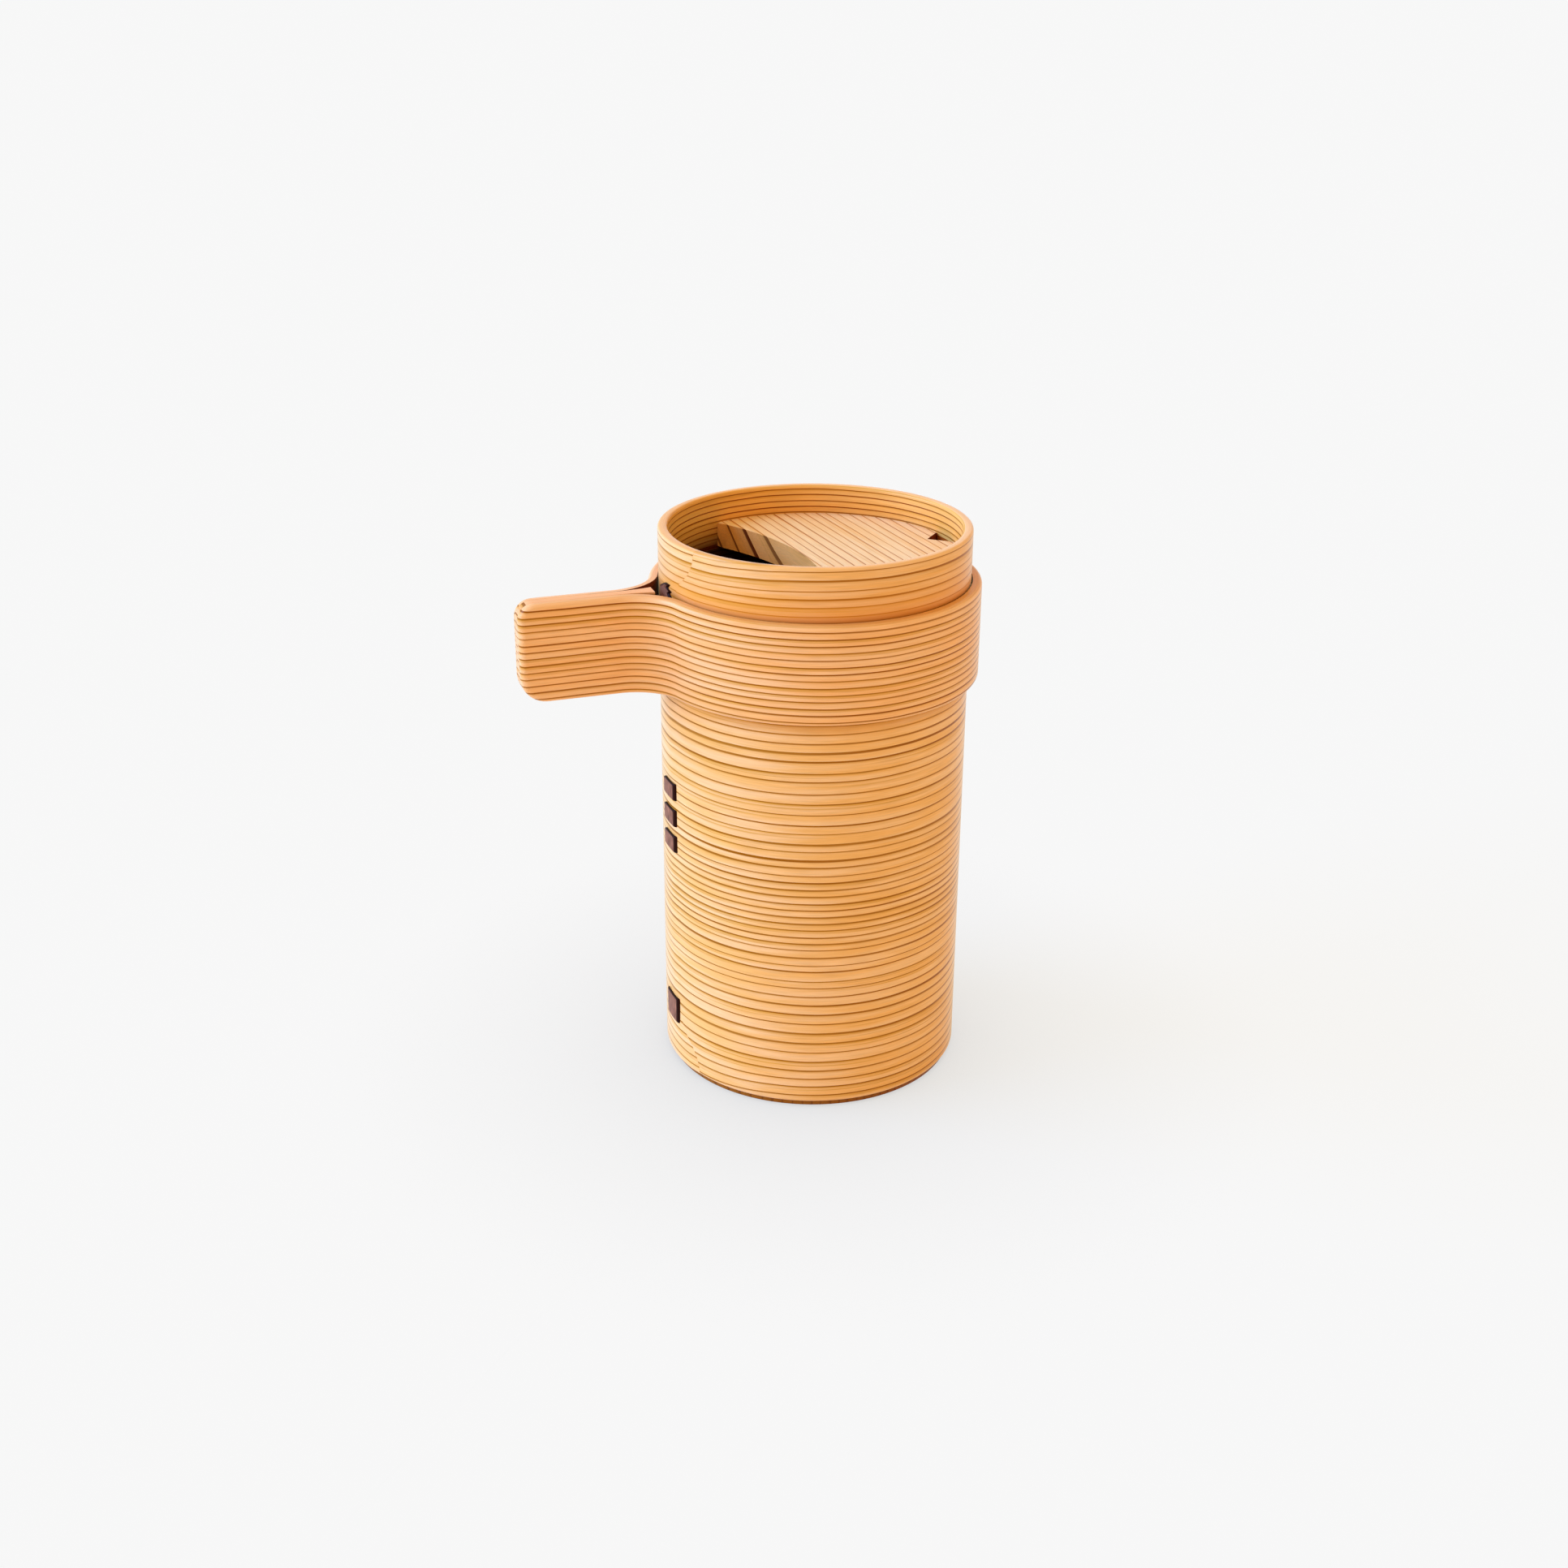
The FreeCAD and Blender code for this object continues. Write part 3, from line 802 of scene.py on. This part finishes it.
@dataclass
class BentHandle:
    """The handle: a strip bent round the body, its two tails side by side, and a filler between them."""

    thickness: float = 2.25
    bend_radius: float = 12.0
    # How far a tail's inner face lies from the handle's middle plane, half the filler's width, and the radius
    # of the arcs by which the filler widens
    tail_inner: float = 1.25
    filler_half: float = 1.2
    filler_flare: float = 50.0
    # Rounding of the strip's outer edges, how much more of it the free end has, and that of the inner edges
    edge_round: float = 1.1
    end_round: float = 0.5
    arris: float = 0.04
    # How far from the centre of the bend towards the free end the inner face shows, and gets its painted
    # shade
    inside_reach: float = 6.0
    # Distances from the free end, and from the filler's other end, at which sections stand close together
    end_steps: tuple[float, ...] = (
        0.0, 0.04, 0.12, 0.24, 0.4, 0.6, 0.8, 1.1, 1.5, 2.0, 2.6, 3.3, 4.0, 5.0, 6.0, 8.0
    )
    filler_steps: tuple[float, ...] = (0.0, 0.05, 0.15)
    # How many sections the rest of a tail, a bend, half the ring and the filler have
    tail_count: int = 9
    bend_count: int = 25
    ring_count: int = 121
    filler_count: int = 24
    end: float = field(init=False)
    ring: float = field(init=False)
    filler_end: float = field(init=False)
    outline: StripEnd = field(init=False)

    def __post_init__(self) -> None:
        """Takes the handle's place from the frame."""
        low, high = box_mm("handle_band")
        self.end = -low.x
        self.ring = high.x
        self.outline = StripEnd(low.z, high.z)
        self.filler_end = -box_mm("handle_core")[1].x

    @property
    def tail_outer(self) -> float:
        """How far a tail's outer face lies from the handle's middle plane."""
        return self.tail_inner + self.thickness

    @property
    def bend_y(self) -> float:
        """How far the centre of a bend lies from the handle's middle plane."""
        return self.tail_outer + self.bend_radius

    @property
    def bend_x(self) -> float:
        """How far the centre of a bend lies from the body's axis, along the handle."""
        return math.sqrt((self.ring + self.bend_radius) ** 2 - self.bend_y ** 2)

    def half_path(self) -> list[tuple[float, Pair, Pair]]:
        """The outer face in plan, from one free end to the far side of the body.

        Returns:
            For each point, the distance from the free end, its x and y, and the direction into the strip.
        """
        tail = self.end - self.bend_x
        distances = list(self.end_steps) + spread(self.end_steps[-1], tail, self.tail_count)[1:]
        path = [(run, (run - self.end, self.tail_outer), (0.0, -1.0)) for run in distances]
        meet = math.atan2(self.bend_y, self.bend_x)
        for angle in spread(-math.pi / 2, -meet, self.bend_count)[1:]:
            inward = (math.cos(angle), math.sin(angle))
            x = -self.bend_x + self.bend_radius * inward[0]
            y = self.bend_y + self.bend_radius * inward[1]
            path.append((tail + self.bend_radius * (angle + math.pi / 2), (x, y), inward))
        bent = path[-1][0]
        for angle in spread(math.pi - meet, 0.0, self.ring_count)[1:]:
            run = bent + self.ring * (math.pi - meet - angle)
            x = math.cos(angle)
            y = math.sin(angle)
            path.append((run, (self.ring * x, self.ring * y), (-x, -y)))
        return path

    def strip_section(self, run: float, from_end: float, place: Pair, inward: Pair) -> Section:
        """One upright section of the strip.

        Args:
            run: the distance along the strip.
            from_end: the distance from the nearer free end.
            place: the outer face's x and y.
            inward: the direction into the strip.

        Returns:
            The section's points, with their places in the strip.
        """
        rounding = self.edge_round + self.end_round * max(1 - from_end / self.outline.corner_bottom, 0.0)
        outer: Section = []
        inner: Section = []
        for height in self.outline.rows(from_end):
            inset = self.outline.inset(from_end, height)
            for side, depth in (
                (outer, round_over(inset, rounding)),
                (inner, self.thickness - round_over(inset, self.arris)),
            ):
                point = (place[0] + inward[0] * depth, place[1] + inward[1] * depth, height)
                side.append((point, (run, depth, height)))
        return outer + inner[::-1]

    def build_strip(self, woods: Woods) -> None:
        """Builds the bent strip, with painted shade on its inner face where that shows in the gap at the
        root.
        """
        half = self.half_path()
        whole = 2 * half[-1][0]
        sections = [self.strip_section(run, run, place, inward) for run, place, inward in half]
        for run, (x, y), (inward_x, inward_y) in reversed(half[:-1]):
            sections.append(self.strip_section(whole - run, run, (x, -y), (inward_x, -inward_y)))
        surface = loft(sections, closed=False)
        finishes = [woods[Wood.BAND], woods[Wood.INSIDE]]
        piece = make_piece("handle_strip", surface, finishes, "handle_band")
        inner_face = self.thickness - 2 * self.arris
        for face in piece.data.polygons:
            deep = all(surface.grain[corner][1] > inner_face for corner in face.vertices)
            if deep and face.center.x / MM > -self.bend_x - self.inside_reach:
                face.material_index = 1

    def filler_width(self, x: float) -> float:
        """Half the filler's width at a place along the handle: even, then widening towards the body."""
        past = max(self.bend_x + x, 0.0)
        return self.filler_half + self.filler_flare - math.sqrt(self.filler_flare ** 2 - past ** 2)

    def build_filler(self, woods: Woods) -> None:
        """Builds the filler between the tails."""
        length = self.end - self.filler_end
        *edge, inner = self.filler_steps
        distances = list(self.end_steps) + spread(self.end_steps[-1], length - inner, self.filler_count)[1:]
        distances += [length - step for step in reversed(edge)]
        sections: list[Section] = []
        for run in distances:
            left: Section = []
            right: Section = []
            for height in self.outline.rows(run):
                inset = min(self.outline.inset(run, height), length - run)
                width = self.filler_width(run - self.end) - round_over(max(inset, 0.0), self.arris)
                for side, y in ((left, width), (right, -width)):
                    side.append(((run - self.end, y, height), (run, y, height)))
            sections.append(left + right[::-1])
        surface = loft(sections, closed=False)
        make_piece("handle_filler", surface, [woods[Wood.CORE]], "handle_core")

    def build(self, woods: Woods) -> None:
        """Builds the strip and the filler in their finishes."""
        self.build_strip(woods)
        self.build_filler(woods)


@dataclass
class Plates:
    """The recessed pouring plate and the bottom plate with its foot."""

    # Degrees by which the pouring plate is turned from the handle
    turn: float = 4.2
    # The opening's edge is an arc: how far from the axis it passes, and its radius
    opening_offset: float = 3.5
    opening_radius: float = 66.75
    notch_depth: float = 5.7
    notch_width: float = 8.2
    clearance: float = 0.05
    lip: float = 0.3
    lip_steps: int = 3
    rim_count: int = 61
    opening_count: int = 41
    crease: float = 30.0
    # A face whose normal rises less than this is a side of the plate
    steep: float = 0.6
    # How far the growth rings lean, sideways for each millimetre up
    ring_slope: float = 0.28
    foot_inset: float = 0.9
    foot_height: float = 1.5
    chamfer: float = 0.4
    # The foot's chamfer is rounded by a point at this share of it
    chamfer_round: float = 0.3
    spin_steps: int = 160
    weld: float = 1e-4
    body_radius: float = field(init=False)

    def __post_init__(self) -> None:
        """Takes the body's radius from the frame."""
        self.body_radius = box_mm("body_wall")[1].x

    def outline(self) -> list[Pair]:
        """The pouring plate in plan, with the opening on -X and the notch on +X, before it is turned."""
        radius = BORE - self.clearance
        centre = self.opening_offset + self.opening_radius
        corner_x = -(centre ** 2 + radius ** 2 - self.opening_radius ** 2) / (2 * centre)
        corner = math.acos(corner_x / radius)
        notch = math.asin(self.notch_width / 2 / radius)
        rim = spread(notch, corner, self.rim_count)
        points = [(radius * math.cos(angle), -radius * math.sin(angle)) for angle in reversed(rim)]
        points.append((BORE - self.notch_depth, 0.0))
        points += [(radius * math.cos(angle), radius * math.sin(angle)) for angle in rim]
        reach = math.asin(radius * math.sin(corner) / self.opening_radius)
        for angle in spread(reach, -reach, self.opening_count)[1:-1]:
            x = self.opening_radius * math.cos(angle) - centre
            points.append((x, self.opening_radius * math.sin(angle)))
        return points

    def build_pouring_plate(self, woods: Woods) -> None:
        """Builds the plate with the half-moon opening and the pour notch."""
        low, high = box_mm("top_plate")
        shape = self.outline()
        shell = bmesh.new()
        top = [shell.verts.new((x, y, high.z)) for x, y in shape]
        bottom = [shell.verts.new((x, y, low.z)) for x, y in shape]
        shell.faces.new(top)
        shell.faces.new(bottom[::-1])
        for place, _ in enumerate(shape):
            after = (place + 1) % len(shape)
            shell.faces.new((top[after], top[place], bottom[place], bottom[after]))
        rims = [edge for edge in shell.edges if edge.verts[0].co.z == edge.verts[1].co.z]
        bmesh.ops.bevel(
            shell, geom=rims, offset=self.lip, segments=self.lip_steps, profile=0.5, affect="EDGES"
        )
        bmesh.ops.triangulate(shell, faces=[face for face in shell.faces if len(face.verts) > 4])
        shell.verts.index_update()
        turned = Matrix.Rotation(math.radians(self.turn), 3, "Z")
        points = [tuple(turned @ vert.co) for vert in shell.verts]
        grain: list[Triple] = []
        for vert in shell.verts:
            up = vert.co.z - high.z
            grain.append((vert.co.y, up, vert.co.x + self.ring_slope * up))
        # The order of faces that these tools leave changes from run to run, so they are sorted
        faces = sorted(tuple(vert.index for vert in face.verts) for face in shell.faces)
        shell.free()
        surface = Surface(points, grain, faces)
        finishes = [woods[wood] for wood in (Wood.PLATE, Wood.CUT, Wood.NOTCH)]
        piece = make_piece("pouring_plate", surface, finishes, "top_plate", self.crease)
        self.dress(piece, turned @ Vector((-self.opening_offset - self.opening_radius, 0.0, 0.0)))

    def dress(self, piece: Piece, middle: Vector) -> None:
        """Gives the plate's sides their finishes: end grain at the opening, and painted shade in the notch.

        Args:
            piece: the pouring plate.
            middle: the centre of the opening's arc.
        """
        cut, notch = 1, 2
        for face in piece.data.polygons:
            centre = face.center / MM
            if abs(face.normal.z) > self.steep:
                continue
            if (centre - middle).xy.length < self.opening_radius + self.lip:
                face.material_index = cut
            elif centre.xy.length < BORE - 2 * self.lip:
                face.material_index = notch

    def build_bottom_plate(self, woods: Woods) -> None:
        """Builds the bottom plate, with the foot under the wall."""
        low, high = box_mm("bottom_plate")
        foot = self.body_radius - self.foot_inset
        inner = BORE - self.clearance
        rounded = self.chamfer_round * self.chamfer
        profile = [
            (0.0, low.z),
            (foot - self.chamfer, low.z),
            (foot - rounded, low.z + rounded),
            (foot, low.z + self.chamfer),
            (foot, self.foot_height),
            (inner, self.foot_height),
            (inner, high.z - self.chamfer),
            (inner - self.chamfer, high.z),
            (0.0, high.z),
        ]
        shell = bmesh.new()
        line = [shell.verts.new((away, 0.0, height)) for away, height in profile]
        edges = [shell.edges.new(pair) for pair in zip(line, line[1:])]
        bmesh.ops.spin(
            shell,
            geom=line + edges,
            cent=(0, 0, 0),
            axis=(0, 0, 1),
            angle=2 * math.pi,
            steps=self.spin_steps,
            use_merge=True,
        )
        bmesh.ops.remove_doubles(shell, verts=shell.verts, dist=self.weld)
        shell.verts.index_update()
        points = [tuple(vert.co) for vert in shell.verts]
        grain = [(vert.co.y, vert.co.z, vert.co.x) for vert in shell.verts]
        # The order of faces that these tools leave changes from run to run, so they are sorted
        faces = sorted(tuple(vert.index for vert in face.verts) for face in shell.faces)
        shell.free()
        surface = Surface(points, grain, faces)
        finishes = [woods[Wood.FOOT]]
        make_piece("bottom_plate_foot", surface, finishes, "bottom_plate", self.crease)

    def build(self, woods: Woods) -> None:
        """Builds both plates in their finishes."""
        self.build_pouring_plate(woods)
        self.build_bottom_plate(woods)


@dataclass
class BarkStitches:
    """The bark stitches that sew the lap: flat loops through slits in the wall."""

    thickness: float = 0.5
    clearance: float = 0.05
    # Radius of the lap's face under the stitches, and how far they stand out from it
    face: float = 37.65
    proud: float = 0.5
    # How much thinner a stitch is, on each side, at its upper and lower edge
    edge: float = 0.12
    # How far the ends turn in over the wall, where on that turn the points stand, the share of it that the
    # inner run turns out by, and how many points stand between the ends
    turn_in: float = 0.9
    turn_shares: tuple[float, ...] = (0.0, 0.03, 0.1, 0.22, 0.4, 0.65, 1.0)
    inner_turn: float = 0.3
    run_count: int = 9
    row_count: int = 23
    # How far the upper edge drops at the far end, where the strip dives askew, over what length, and the base
    # stitch's share of that
    drop: float = 1.6
    drop_length: float = 2.6
    base_drop: float = 0.3
    # The top stitch's upper edge slopes from this place on, and its near end is torn: at each share of its
    # height, how far it falls short
    slope: float = 0.43
    slope_start: float = -2.1
    teeth: tuple[Pair, ...] = ((0.0, 0.5), (0.58, 0.5), (0.68, 1.4), (0.77, 0.4), (0.84, 2.4), (1.0, 0.9))

    def torn(self, stitch: Stitch, share: float) -> float:
        """How far the near end falls short at a share of the height: only the top stitch is torn."""
        if stitch is not Stitch.TOP:
            return 0.0
        for (low, start), (high, end) in zip(self.teeth, self.teeth[1:]):
            if share <= high:
                return start + (end - start) * (share - low) / (high - low)
        return self.teeth[-1][1]

    def upper_edge(self, stitch: Stitch, high: Vector, y: float) -> float:
        """Height of a stitch's upper edge at a place along it."""
        if stitch is Stitch.TOP:
            return high.z - self.slope * max(y - self.slope_start, 0.0)
        past = min(max((y - high.y) / self.drop_length + 1, 0.0), 1.0)
        steep = self.base_drop if stitch is Stitch.BASE else 1.0
        return high.z - steep * self.drop * past * past

    def path(self, near: float, far: float) -> list[Vector]:
        """The middle line of a stitch in plan: its outer run, then its inner run.

        Args:
            near: the end of the stitch at the tongue's edge.
            far: its other end.

        Returns:
            The points, in order round the loop.
        """
        half = self.thickness / 2
        first = near + half
        last = far - half
        turns = [share * self.turn_in for share in self.turn_shares]
        steps = [first + turn for turn in turns]
        steps += spread(first + self.turn_in, last - self.turn_in, self.run_count)[1:-1]
        steps += [last - turn for turn in reversed(turns)]
        outer = self.face + self.proud - half
        inner = BORE - self.clearance - half
        points: list[Vector] = []
        for radius, inward, places in ((outer, 1.0, steps[::-1]), (inner, -self.inner_turn, steps)):
            for y in places:
                dive = round_over(min(y - first, last - y), self.turn_in)
                points.append(Vector((inward * dive - math.sqrt(radius ** 2 - y ** 2), y)))
        return points

    def build_stitch(self, stitch: Stitch, bark: Material) -> None:
        """Builds one stitch.

        Args:
            stitch: which stitch.
            bark: its finish.
        """
        node = "bark_stitch_" + stitch.value
        low, high = box_mm(node)
        half = self.thickness / 2
        shares = spread(0.0, 1.0, self.row_count)
        near_ends = [low.y + self.torn(stitch, share) for share in shares]
        paths = [self.path(near, high.y) for near in near_ends]
        sections: list[Section] = []
        for place in range(len(paths[0])):
            outer: Section = []
            inner: Section = []
            for share, near, path in zip(shares, near_ends, paths):
                here = path[place]
                way = (path[(place + 1) % len(path)] - path[place - 1]).normalized()
                out = half - (self.edge if share in (0.0, 1.0) else 0.0)
                top = self.upper_edge(stitch, high, here.y)
                height = low.z + share * (top - low.z)
                for side, depth in ((outer, out), (inner, -out)):
                    point = (here.x + way.y * depth, here.y - way.x * depth, height)
                    side.append((point, (here.y - near, top - height, height)))
            sections.append(outer + inner[::-1])
        make_piece("bark_loop_" + stitch.value, loft(sections, closed=True), [bark], node)

    def build(self) -> None:
        """Builds all stitches in scraped bark."""
        bark = BarkFinish().make()
        for stitch in Stitch:
            self.build_stitch(stitch, bark)


@dataclass(frozen=True)
class Studio:
    """A plain pale floor in a warm bright room, with cool daylight from a window on the handle's side."""

    floor_colour: str = "#f4f4f4"
    floor_reach: float = 12.0
    floor_roughness: float = 0.95
    # What the camera sees of the floor: a plain glow, and a share of the real light, which makes up the rest
    # of the white and carries the cast shadow
    floor_shade: str = "#5a5a5a"
    floor_glow: str = "#ebebeb"
    # The glow is darkened round the foot, by up to this share, as a painted contact shadow where the jug
    # hides so much of the room
    contact_reach: float = 90.0
    contact_depth: float = 0.36
    room_colour: str = "#ffe7aa"
    room_strength: float = 0.86
    # What the camera sees of the room
    white: str = "#ffffff"
    white_strength: float = 0.93
    window_colour: str = "#81b9ff"
    window_strength: float = 6.0
    window_spread: float = 50.0
    window_from: Triple = (-0.91, 0.24, 0.34)

    def shown(self, tree: Tree) -> Node:
        """1 where the camera, a gloss or a clear material sees the surface, and 0 where it lights others."""
        rays = add_node(tree, "LightPath").outputs
        seen = {0: rays["Is Camera Ray"], 1: rays["Is Glossy Ray"]}
        direct = add_node(tree, "Math", seen, operation="MAXIMUM")
        return add_node(tree, "Math", {0: direct, 1: rays["Is Transmission Ray"]}, operation="MAXIMUM")

    def floor_finish(self) -> Material:
        """Matt white paint, which the eye gets as a plain pale ground with a soft shadow: the real cast
        shadow, and a painted contact shadow in the glow round the foot.
        """
        material, tree = new_tree("matt_white_floor")
        shown = self.shown(tree)
        colours = {0: shown, 6: linear(self.floor_colour), 7: linear(self.floor_shade)}
        hidden = add_node(tree, "AmbientOcclusion", {"Distance": self.contact_reach * MM}, samples=2)
        falling = {"Value": hidden.outputs["AO"], "To Min": 1 - self.contact_depth}
        contact = add_node(tree, "MapRange", falling)
        matt = add_node(
            tree,
            "BsdfPrincipled",
            {
                "Base Color": add_node(tree, "Mix", colours, data_type="RGBA").outputs[2],
                "Roughness": self.floor_roughness,
                "Specular IOR Level": 0.0,
                "Emission Color": linear(self.floor_glow),
                "Emission Strength": add_node(tree, "Math", {0: contact, 1: shown}, operation="MULTIPLY"),
            },
        )
        add_node(tree, "OutputMaterial", {0: matt})
        return material

    def lay_floor(self) -> None:
        """Lays the floor that the jug stands on."""
        mesh = bpy.data.meshes.new("studio_floor")
        reach = self.floor_reach
        corners = [(-reach, -reach, 0.0), (reach, -reach, 0.0), (reach, reach, 0.0), (-reach, reach, 0.0)]
        mesh.from_pydata(corners, [], [(0, 1, 2, 3)])
        mesh.materials.append(self.floor_finish())
        floor = bpy.data.objects.new("studio_floor", mesh)
        bpy.context.scene.collection.objects.link(floor)

    def light_room(self) -> None:
        """Lights the room evenly, with a plain white where the camera or a gloss sees it."""
        world = bpy.data.worlds.new("bright_room")
        world.use_nodes = True
        tree = world.node_tree
        tree.nodes.clear()
        room = add_node(tree, "Background", {0: linear(self.room_colour), 1: self.room_strength})
        white = add_node(tree, "Background", {0: linear(self.white), 1: self.white_strength})
        mixed = add_node(tree, "MixShader", {0: self.shown(tree), 1: room, 2: white})
        add_node(tree, "OutputWorld", {0: mixed})
        bpy.context.scene.world = world

    def hang_window(self) -> None:
        """Hangs the window's soft light so far away that it lights the whole floor alike."""
        lamp = bpy.data.lights.new("left_window", "SUN")
        lamp.color = linear(self.window_colour)[:3]
        lamp.energy = self.window_strength
        lamp.angle = math.radians(self.window_spread)
        holder = bpy.data.objects.new("left_window", lamp)
        holder.rotation_euler = Vector(self.window_from).to_track_quat("Z", "Y").to_euler()
        bpy.context.scene.collection.objects.link(holder)
        LOG.info("%s: %.1f W/m2", holder.name, lamp.energy)

    def build(self) -> None:
        """Lays the floor and lights the room."""
        self.lay_floor()
        self.light_room()
        self.hang_window()


@dataclass(frozen=True)
class PhotoCamera:
    """A camera at the photograph's viewing angle. Lengths are in millimetres and angles in degrees."""

    distance: float = 457.1
    height: float = 266.8
    # How far it stands round the jug from the front, and how far past the axis it looks
    swing: float = -20.0
    aside: float = -0.897
    pitch: float = 23.18
    roll: float = 0.348
    lens: float = 45.41
    sensor: float = 36.0
    nearest: float = 10.0

    def build(self) -> None:
        """Makes the camera and gives it to the scene."""
        data = bpy.data.cameras.new("photo_camera")
        data.lens = self.lens
        data.sensor_width = self.sensor
        data.clip_start = self.nearest * MM
        camera = bpy.data.objects.new("photo_camera", data)
        swing = math.radians(self.swing)
        heading = math.radians(90.0 - self.aside + self.swing)
        pitch = math.radians(self.pitch)
        level = Vector((math.cos(heading), math.sin(heading), 0.0))
        ahead = level * math.cos(pitch) - Vector((0.0, 0.0, math.sin(pitch)))
        tilt = Matrix.Rotation(-math.radians(self.roll), 3, ahead)
        right = tilt @ Vector((level.y, -level.x, 0.0))
        up = right.cross(ahead)
        turned = Matrix((right, up, -ahead)).transposed().to_4x4()
        place = Vector((math.sin(swing) * self.distance, -math.cos(swing) * self.distance, self.height)) * MM
        camera.matrix_world = Matrix.Translation(place) @ turned
        bpy.context.scene.collection.objects.link(camera)
        bpy.context.scene.camera = camera


def main() -> None:
    """Builds the jug's pieces in their finishes, then the studio and the camera."""
    logging.basicConfig(level=logging.INFO, format="%(name)s: %(message)s")
    woods = cedar_finishes()
    LappedWall().build(woods)
    BentHandle().build(woods)
    Plates().build(woods)
    BarkStitches().build()
    Studio().build()
    PhotoCamera().build()
    bpy.context.scene.view_settings.view_transform = "Standard"


if __name__ == "__main__":
    main()
